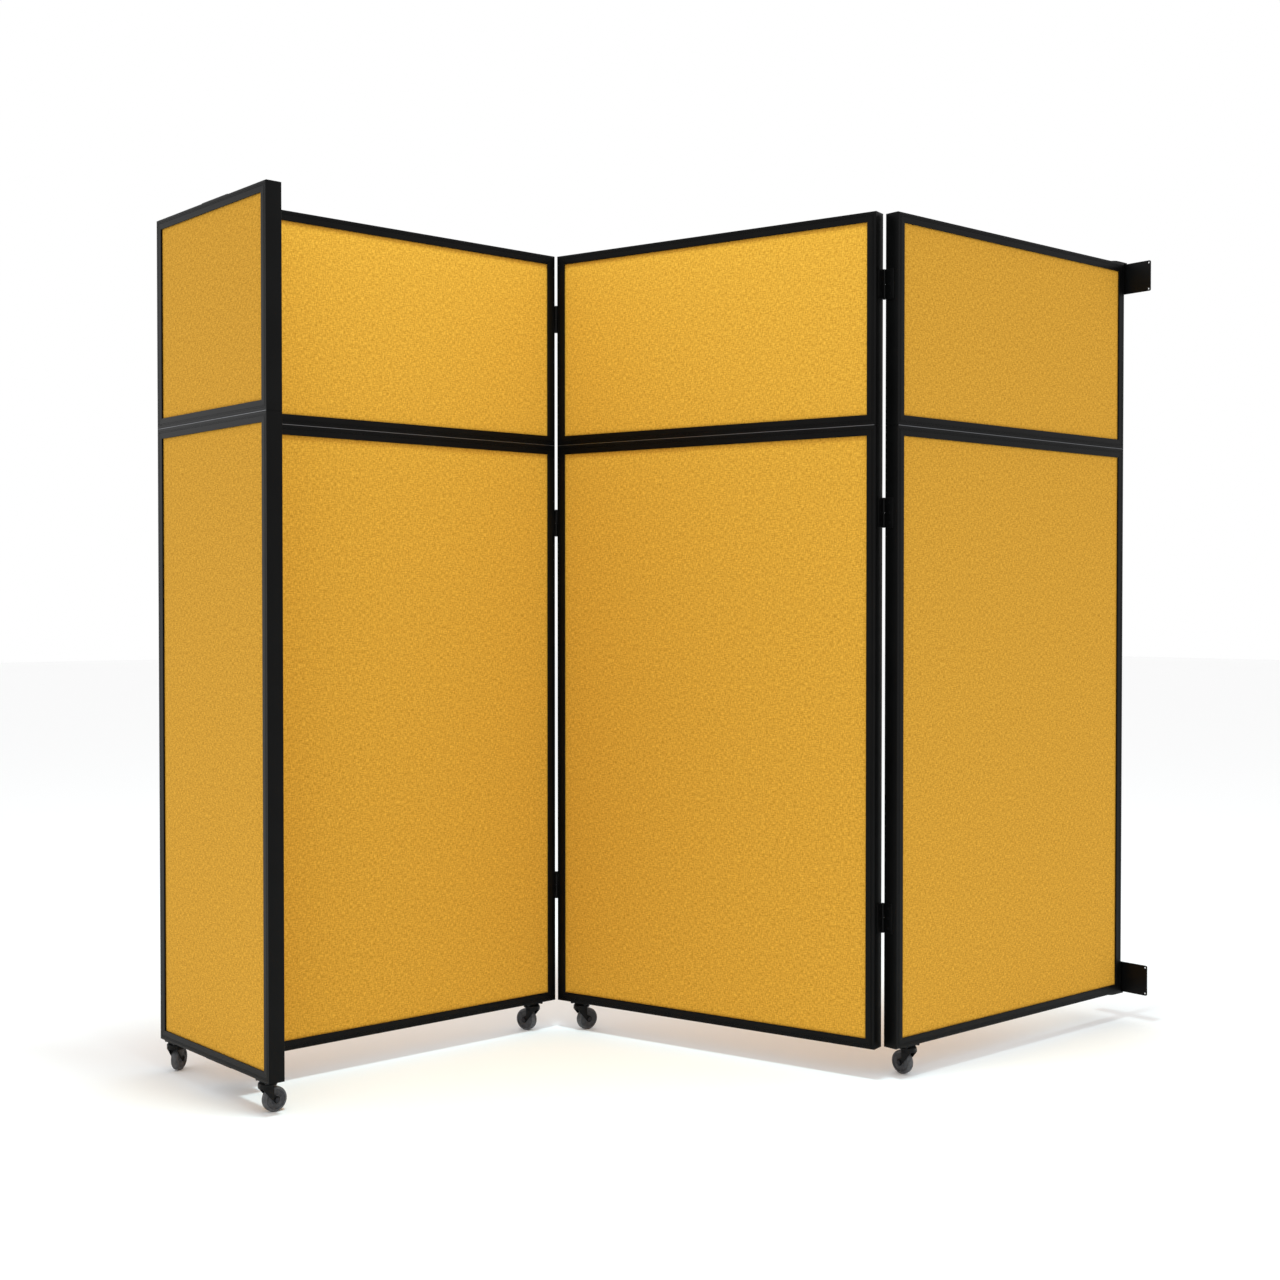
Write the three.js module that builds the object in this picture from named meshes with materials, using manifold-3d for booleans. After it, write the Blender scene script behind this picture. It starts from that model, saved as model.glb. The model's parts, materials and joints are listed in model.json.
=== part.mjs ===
// A wall-hung folding room divider: three full-width panels hinged in a zigzag, with a narrow
// end panel fixed across the free end as a foot. Each panel is an upper and a lower aluminium
// frame around a fabric-wrapped board. Millimetres, +Z up. The wall is towards +X, the front is
// towards -Y, and the origin is the centre of the base of the bounding box, on the floor.

import * as THREE from 'three';
import { mergeVertices } from 'three/addons/utils/BufferGeometryUtils.js';
import Module from 'manifold-3d';

const wasm = await Module();
wasm.setup();

// ---- driving dimensions -------------------------------------------------------------------

const panelWidth = 1150;
const endPanelWidth = 660;
const panelThickness = 48;
const lowerSectionHeight = 1820;
const upperSectionHeight = 616;
const seamGap = 2;
const foldAngle = 75; // degrees that each fold is short of straight

const frameFace = 29; // width of a stile or a rail, seen from the front
const frameEdgeRadius = 1.5;
const boardRecess = 4.8; // from the frame's face back to the fabric
const channelDepth = 8; // how far the board's channel goes into a stile or a rail
const boardSideClearance = 0.5;
const boardEdgeClearance = 1;

const joinerThickness = 6;
const joinerInset = 100; // from the panel's end to the joiner's end
const joinerGrooveDepth = 9;
const joinerClearance = 0.4;

const hingeHeight = 88;
const hingeKnuckleRadius = 3.8;
const hingePinRadius = 2;
const hingePinLength = 34;
const hingePinClearance = 0.4;
const hingeKnuckleGap = 0.5;
const knuckleClearance = 0.5; // from a knuckle to the frame's rounded edge
const leafThickness = 1.9;
const leafClearance = 0.3; // from a leaf to the plane halfway between two panels in line
const leafWidth = 36; // from the hinge axis inward over the panel's end
const leafScrewRadius = 2.2;
const leafScrewSpacing = 29;
const topHingeBelowTop = 205;
const middleHingeBelowSeam = 252;
const bottomHingeAboveBase = 380;

const wallPlateWidth = 230;
const wallPlateHeight = 100;
const wallPlateThickness = 4;
const wallPlateCornerRadius = 5;
const wallPlateHoleRadius = 3.2;
const wallPlateHoleInset = 7;
const wallGap = 12; // from the wall panel's end to the wall plate
const wallTabReach = 60; // how far the tab reaches over the panel
const wallTabThickness = 4;
const pivotInset = 24; // from the wall panel's end to the pivot axis
const pivotRadius = 6;
const pivotFloor = 5; // left of the rail between the pivot's tip and the board's channel
const pivotHeadRadius = 9;
const pivotHeadRim = 0.6;
const pivotClearance = 0.4;

const teePlateLength = 156;
const teePlateThickness = 4;
const teePlateCornerRadius = 3;
const teePlateOnPanel = 60; // how far it reaches over the outer panel
const teePlateSetback = 7; // from the end panel's outer face to the plate's edge
const teePlateHoleRadius = 3;
const teePlateHoleInset = 20;
const teeGap = 9; // between the outer panel's end and the end panel's face
const endPanelShift = 23; // the end panel's middle is this far behind the outer panel's

const wheelRadius = 35;
const wheelWidth = 22;
const wheelEdgeRadius = 6;
const wheelHubWidth = 24;
const wheelHubRadius = 11;
const wheelRimDepth = 8;
const wheelDishDepth = 4;
const wheelDishSlope = 1; // how much wider the dish is at its mouth than at its floor
const axleRadius = 4;
const axleClearance = 0.4;
const axleHeadRadius = 7.5;
const axleHeadThickness = 4;
const wheelTopClearance = 4.2; // from the king pin's head down to the wheel
const casterTrail = 20;
const casterPlateLength = 62;
const casterPlateWidth = 44;
const casterPlateThickness = 3;
const casterPlateCornerRadius = 5;
const casterRaceRadius = 23;
const casterRaceHeight = 5;
const forkCrownRadius = 26;
const forkCrownHeight = 6;
const forkSkirtHeight = 8; // below the crown, round its front half
const forkSkirtThickness = 3;
const forkLegThickness = 3;
const forkLegSetback = 4; // from the crown's front edge back to a leg's front edge
const forkLegBack = 12; // from the swivel axis to a leg's back edge
const forkBossRadius = 10;
const forkBossFrom = 216; // degrees around the boss where a leg's front edge runs into it
const forkBossTo = 430; // and where it leaves for the back edge
const forkWaist = 16; // height above the axle at which the back edge turns upright
const forkWheelClearance = 1;
const kingPinRadius = 5;
const kingPinHeadRadius = 8.5;
const kingPinHeadHeight = 2.5;
const kingPinHeadChamfer = 1;
const casterInset = 80; // from a wide panel's end to the swivel axis
const endCasterInset = 52; // from the end panel's end to the swivel axis
// How far each fork stands turned to the left, seen from above, from trailing straight back.
const casterTurns = {
  wall_panel: 0,
  middle_panel: -23,
  outer_panel: 18,
  end_panel_back: 37,
  end_panel_front: 0,
};

const seat = 0.3; // gap between pieces that rest on each other
const swivelGap = 0.5;
const overcut = 1; // how far a cutter runs past a face
const wheelSteps = 16; // facets around a wheel, a fork crown or a caster plate's race
const pinSteps = 14; // around a knuckle, a pin or a wall pivot
const boltHoleSteps = 10;
const holeSteps = 8;

// ---- worked out ---------------------------------------------------------------------------

const panelHeight = lowerSectionHeight + seamGap + upperSectionHeight;
const halfThickness = panelThickness / 2;
const fold = THREE.MathUtils.degToRad(foldAngle);
const boardThickness = panelThickness - 2 * boardRecess;
const pivotDepth = frameFace - channelDepth - pivotFloor;

// The hinge axis stands off the panel's end by a leaf, and off its face so far that the knuckle
// clears the rounded edge.
const hingeEndOffset = seat + leafThickness + leafClearance;
const knuckleReach = frameEdgeRadius + hingeKnuckleRadius + knuckleClearance;
const hingeFaceOffset = Math.sqrt(knuckleReach ** 2 - (hingeEndOffset + frameEdgeRadius) ** 2)
  - frameEdgeRadius;
const knuckleHeight = (hingeHeight - hingeKnuckleGap) / 2;

// Heights in a caster, from the underside of its panel down.
const raceBottom = -seat - casterPlateThickness - casterRaceHeight;
const crownTop = raceBottom - swivelGap;
const crownBottom = crownTop - forkCrownHeight;
const skirtBottom = crownBottom - forkSkirtHeight;
const kingPinBottom = crownBottom - swivelGap - kingPinHeadHeight;
const axleHeight = kingPinBottom - wheelTopClearance - wheelRadius;
const casterHeight = wheelRadius - axleHeight;

// ---- finishes -----------------------------------------------------------------------------

const finish = (color, roughness, metalness) => (
  new THREE.MeshStandardMaterial({ color, roughness, metalness })
);
const blackAnodised = finish(0x1b1b1d, 0.42, 0.6);
const goldFabric = finish(0xdda23c, 0.95, 0);
const blackSteel = finish(0x101011, 0.38, 0.5);
const millAluminium = finish(0x9a9c9f, 0.4, 0.9);
const greyRubber = finish(0x4a4a4c, 0.7, 0);
const blackZincSteel = finish(0x2c2c2e, 0.36, 0.8);

// ---- small tools --------------------------------------------------------------------------

function named(name, geometry, material) {
  const mesh = new THREE.Mesh(geometry, material);
  mesh.name = name;
  return mesh;
}

function bareGeometry(geometry) {
  const bare = geometry.index ? geometry.toNonIndexed() : geometry.clone();
  bare.deleteAttribute('normal');
  bare.deleteAttribute('uv');
  return mergeVertices(bare, 1e-4);
}

function toSolid(geometry) {
  const bare = bareGeometry(geometry);
  return new wasm.Manifold(new wasm.Mesh({
    numProp: 3,
    vertProperties: new Float32Array(bare.attributes.position.array),
    triVerts: new Uint32Array(bare.index.array),
  }));
}

function toGeometry(solid) {
  const mesh = solid.getMesh();
  const geometry = new THREE.BufferGeometry();
  geometry.setAttribute('position', new THREE.BufferAttribute(mesh.vertProperties, 3));
  geometry.setIndex(new THREE.BufferAttribute(mesh.triVerts, 1));
  geometry.computeVertexNormals();
  return geometry;
}

function join(...geometries) {
  const whole = geometries.map(toSolid).reduce((sum, solid) => sum.add(solid));
  return toGeometry(whole);
}

function cut(geometry, ...cutters) {
  const rest = cutters.map(toSolid).reduce((left, solid) => left.subtract(solid), toSolid(geometry));
  return toGeometry(rest);
}

// A box given by its low and high corner.
function block(low, high) {
  const size = high.map((value, i) => value - low[i]);
  const middle = high.map((value, i) => (value + low[i]) / 2);
  return new THREE.BoxGeometry(...size).translate(...middle);
}

// A solid of revolution about +Z. The profile is [radius, height] pairs from the top of the axis
// to the bottom, or a closed loop that runs clockwise, seen with the radius to the right.
function turned(profile, steps) {
  const points = profile.map(([radius, height]) => new THREE.Vector2(radius, height));
  return new THREE.LatheGeometry(points.reverse(), steps).rotateX(Math.PI / 2);
}

function rod(radius, low, high, steps) {
  return turned([[0, high], [radius, high], [radius, low], [0, low]], steps);
}

// A rectangle in the XY plane, centred on the origin, with round corners.
function roundedRectangle(width, depth, radius) {
  const x = width / 2 - radius;
  const y = depth / 2 - radius;
  const outline = new THREE.Shape();
  outline.absarc(x, y, radius, 0, Math.PI / 2);
  outline.absarc(-x, y, radius, Math.PI / 2, Math.PI);
  outline.absarc(-x, -y, radius, Math.PI, 1.5 * Math.PI);
  outline.absarc(x, -y, radius, 1.5 * Math.PI, 2 * Math.PI);
  return outline;
}

function addHole(outline, x, y, radius) {
  outline.holes.push(new THREE.Path().absarc(x, y, radius, 0, 2 * Math.PI, true));
}

// A flat plate: the outline lies in XY and the plate goes up from height low.
function plate(outline, thickness, low, curveSegments = 2) {
  const settings = { depth: thickness, bevelEnabled: false, curveSegments };
  return new THREE.ExtrudeGeometry(outline, settings).translate(0, 0, low);
}

// ---- panel frames and boards --------------------------------------------------------------

// The extrusion's section: x runs in from the frame's outer edge, y across the thickness.
function frameSection() {
  const lip = boardThickness / 2 + boardSideClearance;
  const floor = frameFace - channelDepth;
  const r = frameEdgeRadius;
  const section = new THREE.Shape();
  section.moveTo(frameFace, -halfThickness);
  section.lineTo(frameFace, -lip);
  section.lineTo(floor, -lip);
  section.lineTo(floor, lip);
  section.lineTo(frameFace, lip);
  section.lineTo(frameFace, halfThickness);
  section.absarc(r, halfThickness - r, r, Math.PI / 2, Math.PI);
  section.absarc(r, r - halfThickness, r, Math.PI, 1.5 * Math.PI);
  section.closePath();
  return section.getPoints(2).reverse();
}

// A mitred frame, centred on x = 0 and standing on z = 0: the section is turned about the
// thickness in four steps, which gives a square frame, and the corners move out to the size.
function mitredFrame(width, height) {
  const reach = 2 * frameFace;
  const profile = frameSection().map((p) => (
    new THREE.Vector2((reach - p.x) * Math.SQRT2, p.y)
  ));
  const geometry = new THREE.LatheGeometry(profile, 4, Math.PI / 4);
  const corner = geometry.attributes.position;
  for (let i = 0; i < corner.count; i += 1) {
    const x = corner.getX(i) + Math.sign(corner.getX(i)) * (width / 2 - reach);
    const z = corner.getZ(i) + Math.sign(corner.getZ(i)) * (height / 2 - reach);
    corner.setXYZ(i, x, corner.getY(i), z + height / 2);
  }
  return geometry;
}

// The groove in a rail for the loose joiner, open at height z and going down or up from it.
function joinerGroove(width, z, direction) {
  const half = joinerThickness / 2 + joinerClearance;
  const end = width / 2 - joinerInset + joinerClearance;
  const far = z + direction * joinerGrooveDepth;
  const near = z - direction * overcut;
  return block([-end, -half, Math.min(near, far)], [end, half, Math.max(near, far)]);
}

function board(width, height) {
  const edge = frameFace - channelDepth + boardEdgeClearance;
  const x = width / 2 - edge;
  const y = boardThickness / 2;
  return block([-x, -y, edge], [x, y, height - edge]);
}

function joiner(width) {
  const x = width / 2 - joinerInset;
  const y = joinerThickness / 2;
  const z = joinerGrooveDepth - joinerClearance;
  return block([-x, -y, -z], [x, y, seamGap + z]);
}

// A whole panel standing on z = 0, with any bores for pivots taken out of its end rails.
function panel(name, width, bores = { upper: [], lower: [] }) {
  const group = new THREE.Group();
  const lowerFrame = cut(
    mitredFrame(width, lowerSectionHeight),
    joinerGroove(width, lowerSectionHeight, -1),
    ...bores.lower,
  );
  const upperFrame = cut(
    mitredFrame(width, upperSectionHeight),
    joinerGroove(width, 0, 1),
    ...bores.upper,
  );
  const upperBase = lowerSectionHeight + seamGap;
  const pieces = [
    [named(`${name}_lower_frame`, lowerFrame, blackAnodised), 0],
    [named(`${name}_upper_frame`, upperFrame, blackAnodised), upperBase],
    [named(`${name}_lower_board`, board(width, lowerSectionHeight), goldFabric), 0],
    [named(`${name}_upper_board`, board(width, upperSectionHeight), goldFabric), upperBase],
    [named(`${name}_section_joiner`, joiner(width), millAluminium), lowerSectionHeight],
  ];
  for (const [piece, height] of pieces) {
    piece.position.z = height;
    group.add(piece);
  }
  return group;
}

// ---- hinges -------------------------------------------------------------------------------

// A leaf whose hinge axis is +Z through the origin. It lies on a panel end that faces +X, and
// the panel is towards -Y from the axis. The tab joins the plate to the knuckle at its height.
function leafPlate(tabLow, tabHigh) {
  const inner = hingeKnuckleRadius + hingeKnuckleGap;
  const low = -hingeHeight / 2;
  const high = hingeHeight / 2;
  const outline = new THREE.Shape();
  outline.moveTo(inner, low);
  outline.lineTo(leafWidth, low);
  outline.lineTo(leafWidth, high);
  outline.lineTo(inner, high);
  if (tabHigh < high) outline.lineTo(inner, tabHigh);
  outline.lineTo(0, tabHigh);
  outline.lineTo(0, tabLow);
  if (tabLow > low) outline.lineTo(inner, tabLow);
  outline.closePath();
  const screwLine = (inner + leafWidth) / 2;
  for (const height of [-leafScrewSpacing, 0, leafScrewSpacing]) {
    addHole(outline, screwLine, height, leafScrewRadius);
  }
  const sheet = plate(outline, leafThickness, 0, holeSteps / 2);
  sheet.rotateX(Math.PI / 2).rotateZ(-Math.PI / 2);
  return sheet.translate(seat - hingeEndOffset + leafThickness, 0, 0);
}

function pinLeaf() {
  const low = -hingeHeight / 2;
  const shoulder = low + knuckleHeight;
  const knuckle = turned([
    [0, shoulder + hingePinLength],
    [hingePinRadius, shoulder + hingePinLength],
    [hingePinRadius, shoulder],
    [hingeKnuckleRadius, shoulder],
    [hingeKnuckleRadius, low],
    [0, low],
  ], pinSteps);
  return join(knuckle, leafPlate(low, shoulder));
}

function socketLeaf() {
  const high = hingeHeight / 2;
  const mouth = high - knuckleHeight;
  const bore = hingePinRadius + hingePinClearance;
  const end = mouth + hingePinLength + hingePinClearance;
  const socket = rod(bore, mouth - overcut, end, pinSteps);
  const knuckle = rod(hingeKnuckleRadius, mouth, high, pinSteps);
  return cut(join(knuckle, leafPlate(mouth, high)), socket);
}

const hingeHeights = {
  top: panelHeight - topHingeBelowTop,
  middle: lowerSectionHeight - middleHingeBelowSeam,
  bottom: bottomHingeAboveBase,
};

// Three leaves along one end of a panel. end is +1 for its right end and -1 for its left, and
// face is +1 for a fold on its back and -1 for a fold on its front.
function addLeaves(group, name, kind, width, end, face) {
  const geometry = kind === 'pin' ? pinLeaf() : socketLeaf();
  if (end * face < 0) {
    geometry.scale(-1, 1, 1);
    geometry.index.array.reverse();
  }
  if (face < 0) geometry.rotateZ(Math.PI);
  for (const [place, height] of Object.entries(hingeHeights)) {
    const leaf = named(`${name}_${place}_${kind}_leaf`, geometry, blackSteel);
    leaf.position.set(
      end * (width / 2 + hingeEndOffset),
      face * (halfThickness + hingeFaceOffset),
      height,
    );
    group.add(leaf);
  }
}

// ---- casters ------------------------------------------------------------------------------

const legInner = wheelHubWidth / 2 + forkWheelClearance;
const legOuter = legInner + forkLegThickness;

function casterPlate() {
  const outline = roundedRectangle(casterPlateLength, casterPlateWidth, casterPlateCornerRadius);
  const top = plate(outline, casterPlateThickness, -seat - casterPlateThickness);
  const headTop = kingPinBottom + kingPinHeadHeight;
  const post = turned([
    [0, -seat - casterPlateThickness / 2],
    [casterRaceRadius, -seat - casterPlateThickness / 2],
    [casterRaceRadius, raceBottom],
    [kingPinRadius, raceBottom],
    [kingPinRadius, headTop],
    [kingPinHeadRadius, headTop],
    [kingPinHeadRadius - kingPinHeadChamfer, kingPinBottom],
    [0, kingPinBottom],
  ], wheelSteps);
  return join(top, post);
}

// The side of one fork leg, drawn with x along the trail and y up.
function forkLeg() {
  const top = crownTop - forkCrownHeight / 2;
  const front = forkLegSetback - forkCrownRadius;
  const from = THREE.MathUtils.degToRad(forkBossFrom);
  const to = THREE.MathUtils.degToRad(forkBossTo);
  const outline = new THREE.Shape();
  outline.moveTo(front, top);
  outline.lineTo(front, skirtBottom);
  outline.absarc(casterTrail, axleHeight, forkBossRadius, from, to);
  outline.lineTo(forkLegBack, axleHeight + forkWaist);
  outline.lineTo(forkLegBack, top);
  outline.closePath();
  return plate(outline, forkLegThickness, 0, holeSteps).rotateX(Math.PI / 2).rotateZ(Math.PI / 2);
}

// The crown is a disc with a skirt round its front half, ahead of the legs.
function forkCrown() {
  const inner = forkCrownRadius - forkSkirtThickness;
  const cup = turned([
    [0, crownTop],
    [forkCrownRadius, crownTop],
    [forkCrownRadius, skirtBottom],
    [inner, skirtBottom],
    [inner, crownBottom],
    [0, crownBottom],
  ], wheelSteps);
  const reach = forkCrownRadius + overcut;
  return cut(cup, block([-reach, 0, skirtBottom - overcut], [reach, reach, crownBottom]));
}

function forkBody() {
  const crown = forkCrown();
  const right = forkLeg().translate(legInner, 0, 0);
  const left = forkLeg().translate(-legOuter, 0, 0);
  const pinHole = rod(
    kingPinRadius + swivelGap,
    crownBottom - overcut,
    crownTop + overcut,
    boltHoleSteps,
  );
  const reach = legOuter + overcut;
  const axleHole = rod(axleRadius + axleClearance, -reach, reach, boltHoleSteps)
    .rotateY(Math.PI / 2)
    .translate(0, casterTrail, axleHeight);
  return cut(join(crown, right, left), pinHole, axleHole);
}

// The wheel turns about X through the origin: a rounded tread, a dished web and a raised hub.
function wheelBody() {
  const tread = wheelWidth / 2;
  const hub = wheelHubWidth / 2;
  const rim = wheelRadius - wheelRimDepth;
  const r = wheelEdgeRadius;
  const half = new THREE.Path();
  half.moveTo(axleRadius + axleClearance, hub);
  half.lineTo(wheelHubRadius, hub);
  half.lineTo(wheelHubRadius + wheelDishSlope, tread - wheelDishDepth);
  half.lineTo(rim, tread - wheelDishDepth);
  half.lineTo(rim + wheelDishSlope, tread);
  half.absarc(wheelRadius - r, tread - r, r, Math.PI / 2, 0, true);
  const outer = half.getPoints(1).map((p) => [p.x, p.y]);
  const mirrored = outer.map(([radius, height]) => [radius, -height]).reverse();
  return turned([...outer, ...mirrored, outer[0]], wheelSteps).rotateY(Math.PI / 2);
}

function axleBolt() {
  const headInner = legOuter + seat;
  const headOuter = headInner + axleHeadThickness;
  const middle = (headInner + headOuter) / 2;
  const shank = rod(axleRadius, -middle, middle, wheelSteps);
  const head = rod(axleHeadRadius, headInner, headOuter, 6);
  const nut = rod(axleHeadRadius, -headOuter, -headInner, 6);
  return join(shank, head, nut).rotateY(Math.PI / 2);
}

const casterPlateGeometry = casterPlate();
const forkGeometry = forkBody();
const wheelGeometry = wheelBody();
const axleGeometry = axleBolt();

// A caster under the panel at x along its width, trailing towards the panel's back but for its
// own turn.
function addCaster(group, name, x) {
  const top = named(`${name}_caster_plate`, casterPlateGeometry, blackSteel);
  const fork = named(`${name}_caster_fork`, forkGeometry, blackSteel);
  const wheel = named(`${name}_caster_wheel`, wheelGeometry, greyRubber);
  const axle = named(`${name}_caster_axle`, axleGeometry, blackZincSteel);
  const turn = THREE.MathUtils.degToRad(casterTurns[name]);
  const trail = new THREE.Vector3(0, casterTrail, axleHeight)
    .applyAxisAngle(new THREE.Vector3(0, 0, 1), turn);
  for (const piece of [top, fork, wheel, axle]) {
    piece.position.x = x;
    if (piece !== top) piece.rotation.z = turn;
    group.add(piece);
  }
  wheel.position.add(trail);
  axle.position.add(trail);
}

// ---- wall brackets ------------------------------------------------------------------------

// The pivot stands on the axis with its countersunk head up, flush with the tab's top.
function pivotShape(extra) {
  const top = wallTabThickness + seat;
  const cone = pivotHeadRadius - pivotRadius;
  return turned([
    [0, top + extra],
    [pivotHeadRadius + extra, top + extra],
    [pivotHeadRadius + extra, top - pivotHeadRim],
    [pivotRadius + extra, top - pivotHeadRim - cone],
    [pivotRadius + extra, -pivotDepth - extra],
    [0, -pivotDepth - extra],
  ], pinSteps);
}

// The bracket's tab lies on top of the panel, whose top is z = 0, and its plate hangs from the
// tab's end against the wall. The pivot axis is +Z through the origin.
function wallBracket() {
  const plateFace = pivotInset + wallGap;
  const wallFace = plateFace + wallPlateThickness;
  const outline = roundedRectangle(wallPlateWidth, wallPlateHeight, wallPlateCornerRadius);
  const y = wallPlateWidth / 2 - wallPlateHoleInset;
  const z = wallPlateHeight / 2 - wallPlateHoleInset;
  for (const [across, up] of [[y, z], [-y, z], [-y, -z], [y, -z]]) {
    addHole(outline, across, up, wallPlateHoleRadius);
  }
  const wallPlate = plate(outline, wallPlateThickness, 0, holeSteps / 2)
    .rotateX(Math.PI / 2)
    .rotateZ(Math.PI / 2)
    .translate(plateFace, 0, seat - wallPlateHeight / 2);
  const tabEnd = pivotInset - wallTabReach;
  const half = halfThickness - frameEdgeRadius / 2;
  const tab = new THREE.Shape();
  tab.moveTo(wallFace, -half);
  tab.lineTo(wallFace, half);
  tab.lineTo(tabEnd + half, half);
  tab.absarc(tabEnd + half, 0, half, Math.PI / 2, 1.5 * Math.PI);
  tab.closePath();
  const flat = plate(tab, wallTabThickness, seat, holeSteps);
  const weld = block(
    [plateFace, -half, seat - wallTabThickness],
    [wallFace, half, seat + wallTabThickness],
  );
  return cut(join(wallPlate, flat, weld), pivotShape(pivotClearance));
}

// Turned over about X, so that what stands above a face hangs below it.
const turnedOver = (geometry) => geometry.clone().scale(1, -1, -1);

// ---- T joint plates -----------------------------------------------------------------------

// A flat plate over the outer panel's end and the end panel. x = 0 is the outer panel's end and
// y = 0 its middle, and the plate lies on z = 0.
function teePlate() {
  const depth = panelThickness - teePlateSetback + teeGap + teePlateOnPanel;
  const middle = teePlateOnPanel - depth / 2;
  const outline = roundedRectangle(depth, teePlateLength, teePlateCornerRadius);
  const overEnd = halfThickness + teeGap + middle;
  const overPanel = teePlateOnPanel - teePlateHoleInset - middle;
  const far = teePlateLength / 2 - teePlateHoleInset;
  for (const [x, y] of [[-overEnd, far], [-overEnd, -far], [-overEnd, 0], [overPanel, 0]]) {
    addHole(outline, x, y, teePlateHoleRadius);
  }
  return plate(outline, teePlateThickness, seat, holeSteps / 2).translate(middle, 0, 0);
}

// ---- the assembly -------------------------------------------------------------------------

// Where a hinge axis is on a panel: end and face as in addLeaves.
function axisOnPanel(end, face) {
  return new THREE.Vector3(
    end * (panelWidth / 2 + hingeEndOffset),
    face * (halfThickness + hingeFaceOffset),
    0,
  );
}

// Turns a panel and moves it so that its own axis point meets the point given.
function hangOn(group, turn, ownPoint, point) {
  group.rotation.z = turn;
  const offset = ownPoint.clone().applyAxisAngle(new THREE.Vector3(0, 0, 1), turn);
  group.position.set(point.x - offset.x, point.y - offset.y, casterHeight);
}

const toWorld = (group, point) => (
  point.clone().applyAxisAngle(new THREE.Vector3(0, 0, 1), group.rotation.z)
    .add(group.position)
);

const object = new THREE.Group();

const pivotX = panelWidth / 2 - pivotInset;
const pivotBore = pivotShape(pivotClearance);
const wallPanel = panel('wall_panel', panelWidth, {
  upper: [pivotBore.clone().translate(pivotX, 0, upperSectionHeight)],
  lower: [turnedOver(pivotBore).translate(pivotX, 0, 0)],
});
wallPanel.position.set(-pivotX, 0, casterHeight);
addLeaves(wallPanel, 'wall_fold', 'pin', panelWidth, -1, 1);
addCaster(wallPanel, 'wall_panel', casterInset - panelWidth / 2);

const middlePanel = panel('middle_panel', panelWidth);
hangOn(middlePanel, -fold, axisOnPanel(1, 1), toWorld(wallPanel, axisOnPanel(-1, 1)));
addLeaves(middlePanel, 'wall_fold', 'socket', panelWidth, 1, 1);
addLeaves(middlePanel, 'outer_fold', 'pin', panelWidth, -1, -1);
addCaster(middlePanel, 'middle_panel', casterInset - panelWidth / 2);

const outerPanel = panel('outer_panel', panelWidth);
hangOn(outerPanel, 0, axisOnPanel(1, -1), toWorld(middlePanel, axisOnPanel(-1, -1)));
addLeaves(outerPanel, 'outer_fold', 'socket', panelWidth, 1, -1);
addCaster(outerPanel, 'outer_panel', panelWidth / 2 - casterInset);

const endPanel = panel('end_panel', endPanelWidth);
endPanel.rotation.z = -Math.PI / 2;
endPanel.position.set(
  outerPanel.position.x - panelWidth / 2 - teeGap - halfThickness,
  outerPanel.position.y + endPanelShift,
  casterHeight,
);
addCaster(endPanel, 'end_panel_back', endCasterInset - endPanelWidth / 2);
addCaster(endPanel, 'end_panel_front', endPanelWidth / 2 - endCasterInset);

const bracketGeometry = wallBracket();
const pivotGeometry = pivotShape(0);
const upperBracket = named('upper_wall_bracket', bracketGeometry, blackSteel);
const lowerBracket = named('lower_wall_bracket', turnedOver(bracketGeometry), blackSteel);
const upperPivot = named('upper_wall_pivot', pivotGeometry, blackZincSteel);
const lowerPivot = named('lower_wall_pivot', turnedOver(pivotGeometry), blackZincSteel);
for (const piece of [upperBracket, upperPivot]) piece.position.z = casterHeight + panelHeight;
for (const piece of [lowerBracket, lowerPivot]) piece.position.z = casterHeight;

const teeGeometry = teePlate();
const upperTee = named('upper_tee_plate', teeGeometry, blackSteel);
const lowerTee = named('lower_tee_plate', turnedOver(teeGeometry), blackSteel);
for (const piece of [upperTee, lowerTee]) {
  piece.position.copy(outerPanel.position);
  piece.position.x -= panelWidth / 2;
}
upperTee.position.z += panelHeight;

object.add(wallPanel, middlePanel, outerPanel, endPanel);
object.add(upperBracket, lowerBracket, upperPivot, lowerPivot, upperTee, lowerTee);

const bounds = new THREE.Box3().setFromObject(object, true);
const middle = bounds.getCenter(new THREE.Vector3());
object.position.set(-middle.x, -middle.y, -bounds.min.z);

export default object;
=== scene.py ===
import json
import bpy
import numpy as np
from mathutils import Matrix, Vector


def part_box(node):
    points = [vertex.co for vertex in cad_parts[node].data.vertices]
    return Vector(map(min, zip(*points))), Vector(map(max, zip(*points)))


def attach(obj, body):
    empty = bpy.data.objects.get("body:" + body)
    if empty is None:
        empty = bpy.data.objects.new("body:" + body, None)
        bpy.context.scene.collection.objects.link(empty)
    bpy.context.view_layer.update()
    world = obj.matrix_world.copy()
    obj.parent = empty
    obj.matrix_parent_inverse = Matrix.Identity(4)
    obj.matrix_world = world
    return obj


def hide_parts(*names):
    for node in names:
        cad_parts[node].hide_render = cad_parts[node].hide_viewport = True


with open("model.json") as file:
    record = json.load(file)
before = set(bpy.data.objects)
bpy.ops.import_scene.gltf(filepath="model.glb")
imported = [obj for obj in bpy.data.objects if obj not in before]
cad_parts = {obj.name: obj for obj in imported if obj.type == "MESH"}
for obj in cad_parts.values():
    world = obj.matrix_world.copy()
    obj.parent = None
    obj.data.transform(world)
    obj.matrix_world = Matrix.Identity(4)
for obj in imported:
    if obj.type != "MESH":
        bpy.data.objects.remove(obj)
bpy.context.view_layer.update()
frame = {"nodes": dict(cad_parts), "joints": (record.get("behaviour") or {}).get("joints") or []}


# ---- the room ------------------------------------------------------------------------------
# A plain white studio: a pale matte floor, even light from all round, a soft box high above the
# outer fold, which brightens the upper half of the two panels that face each other and clears
# them however they swing, and a white card behind the free end, which the satin frame mirrors.

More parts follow.
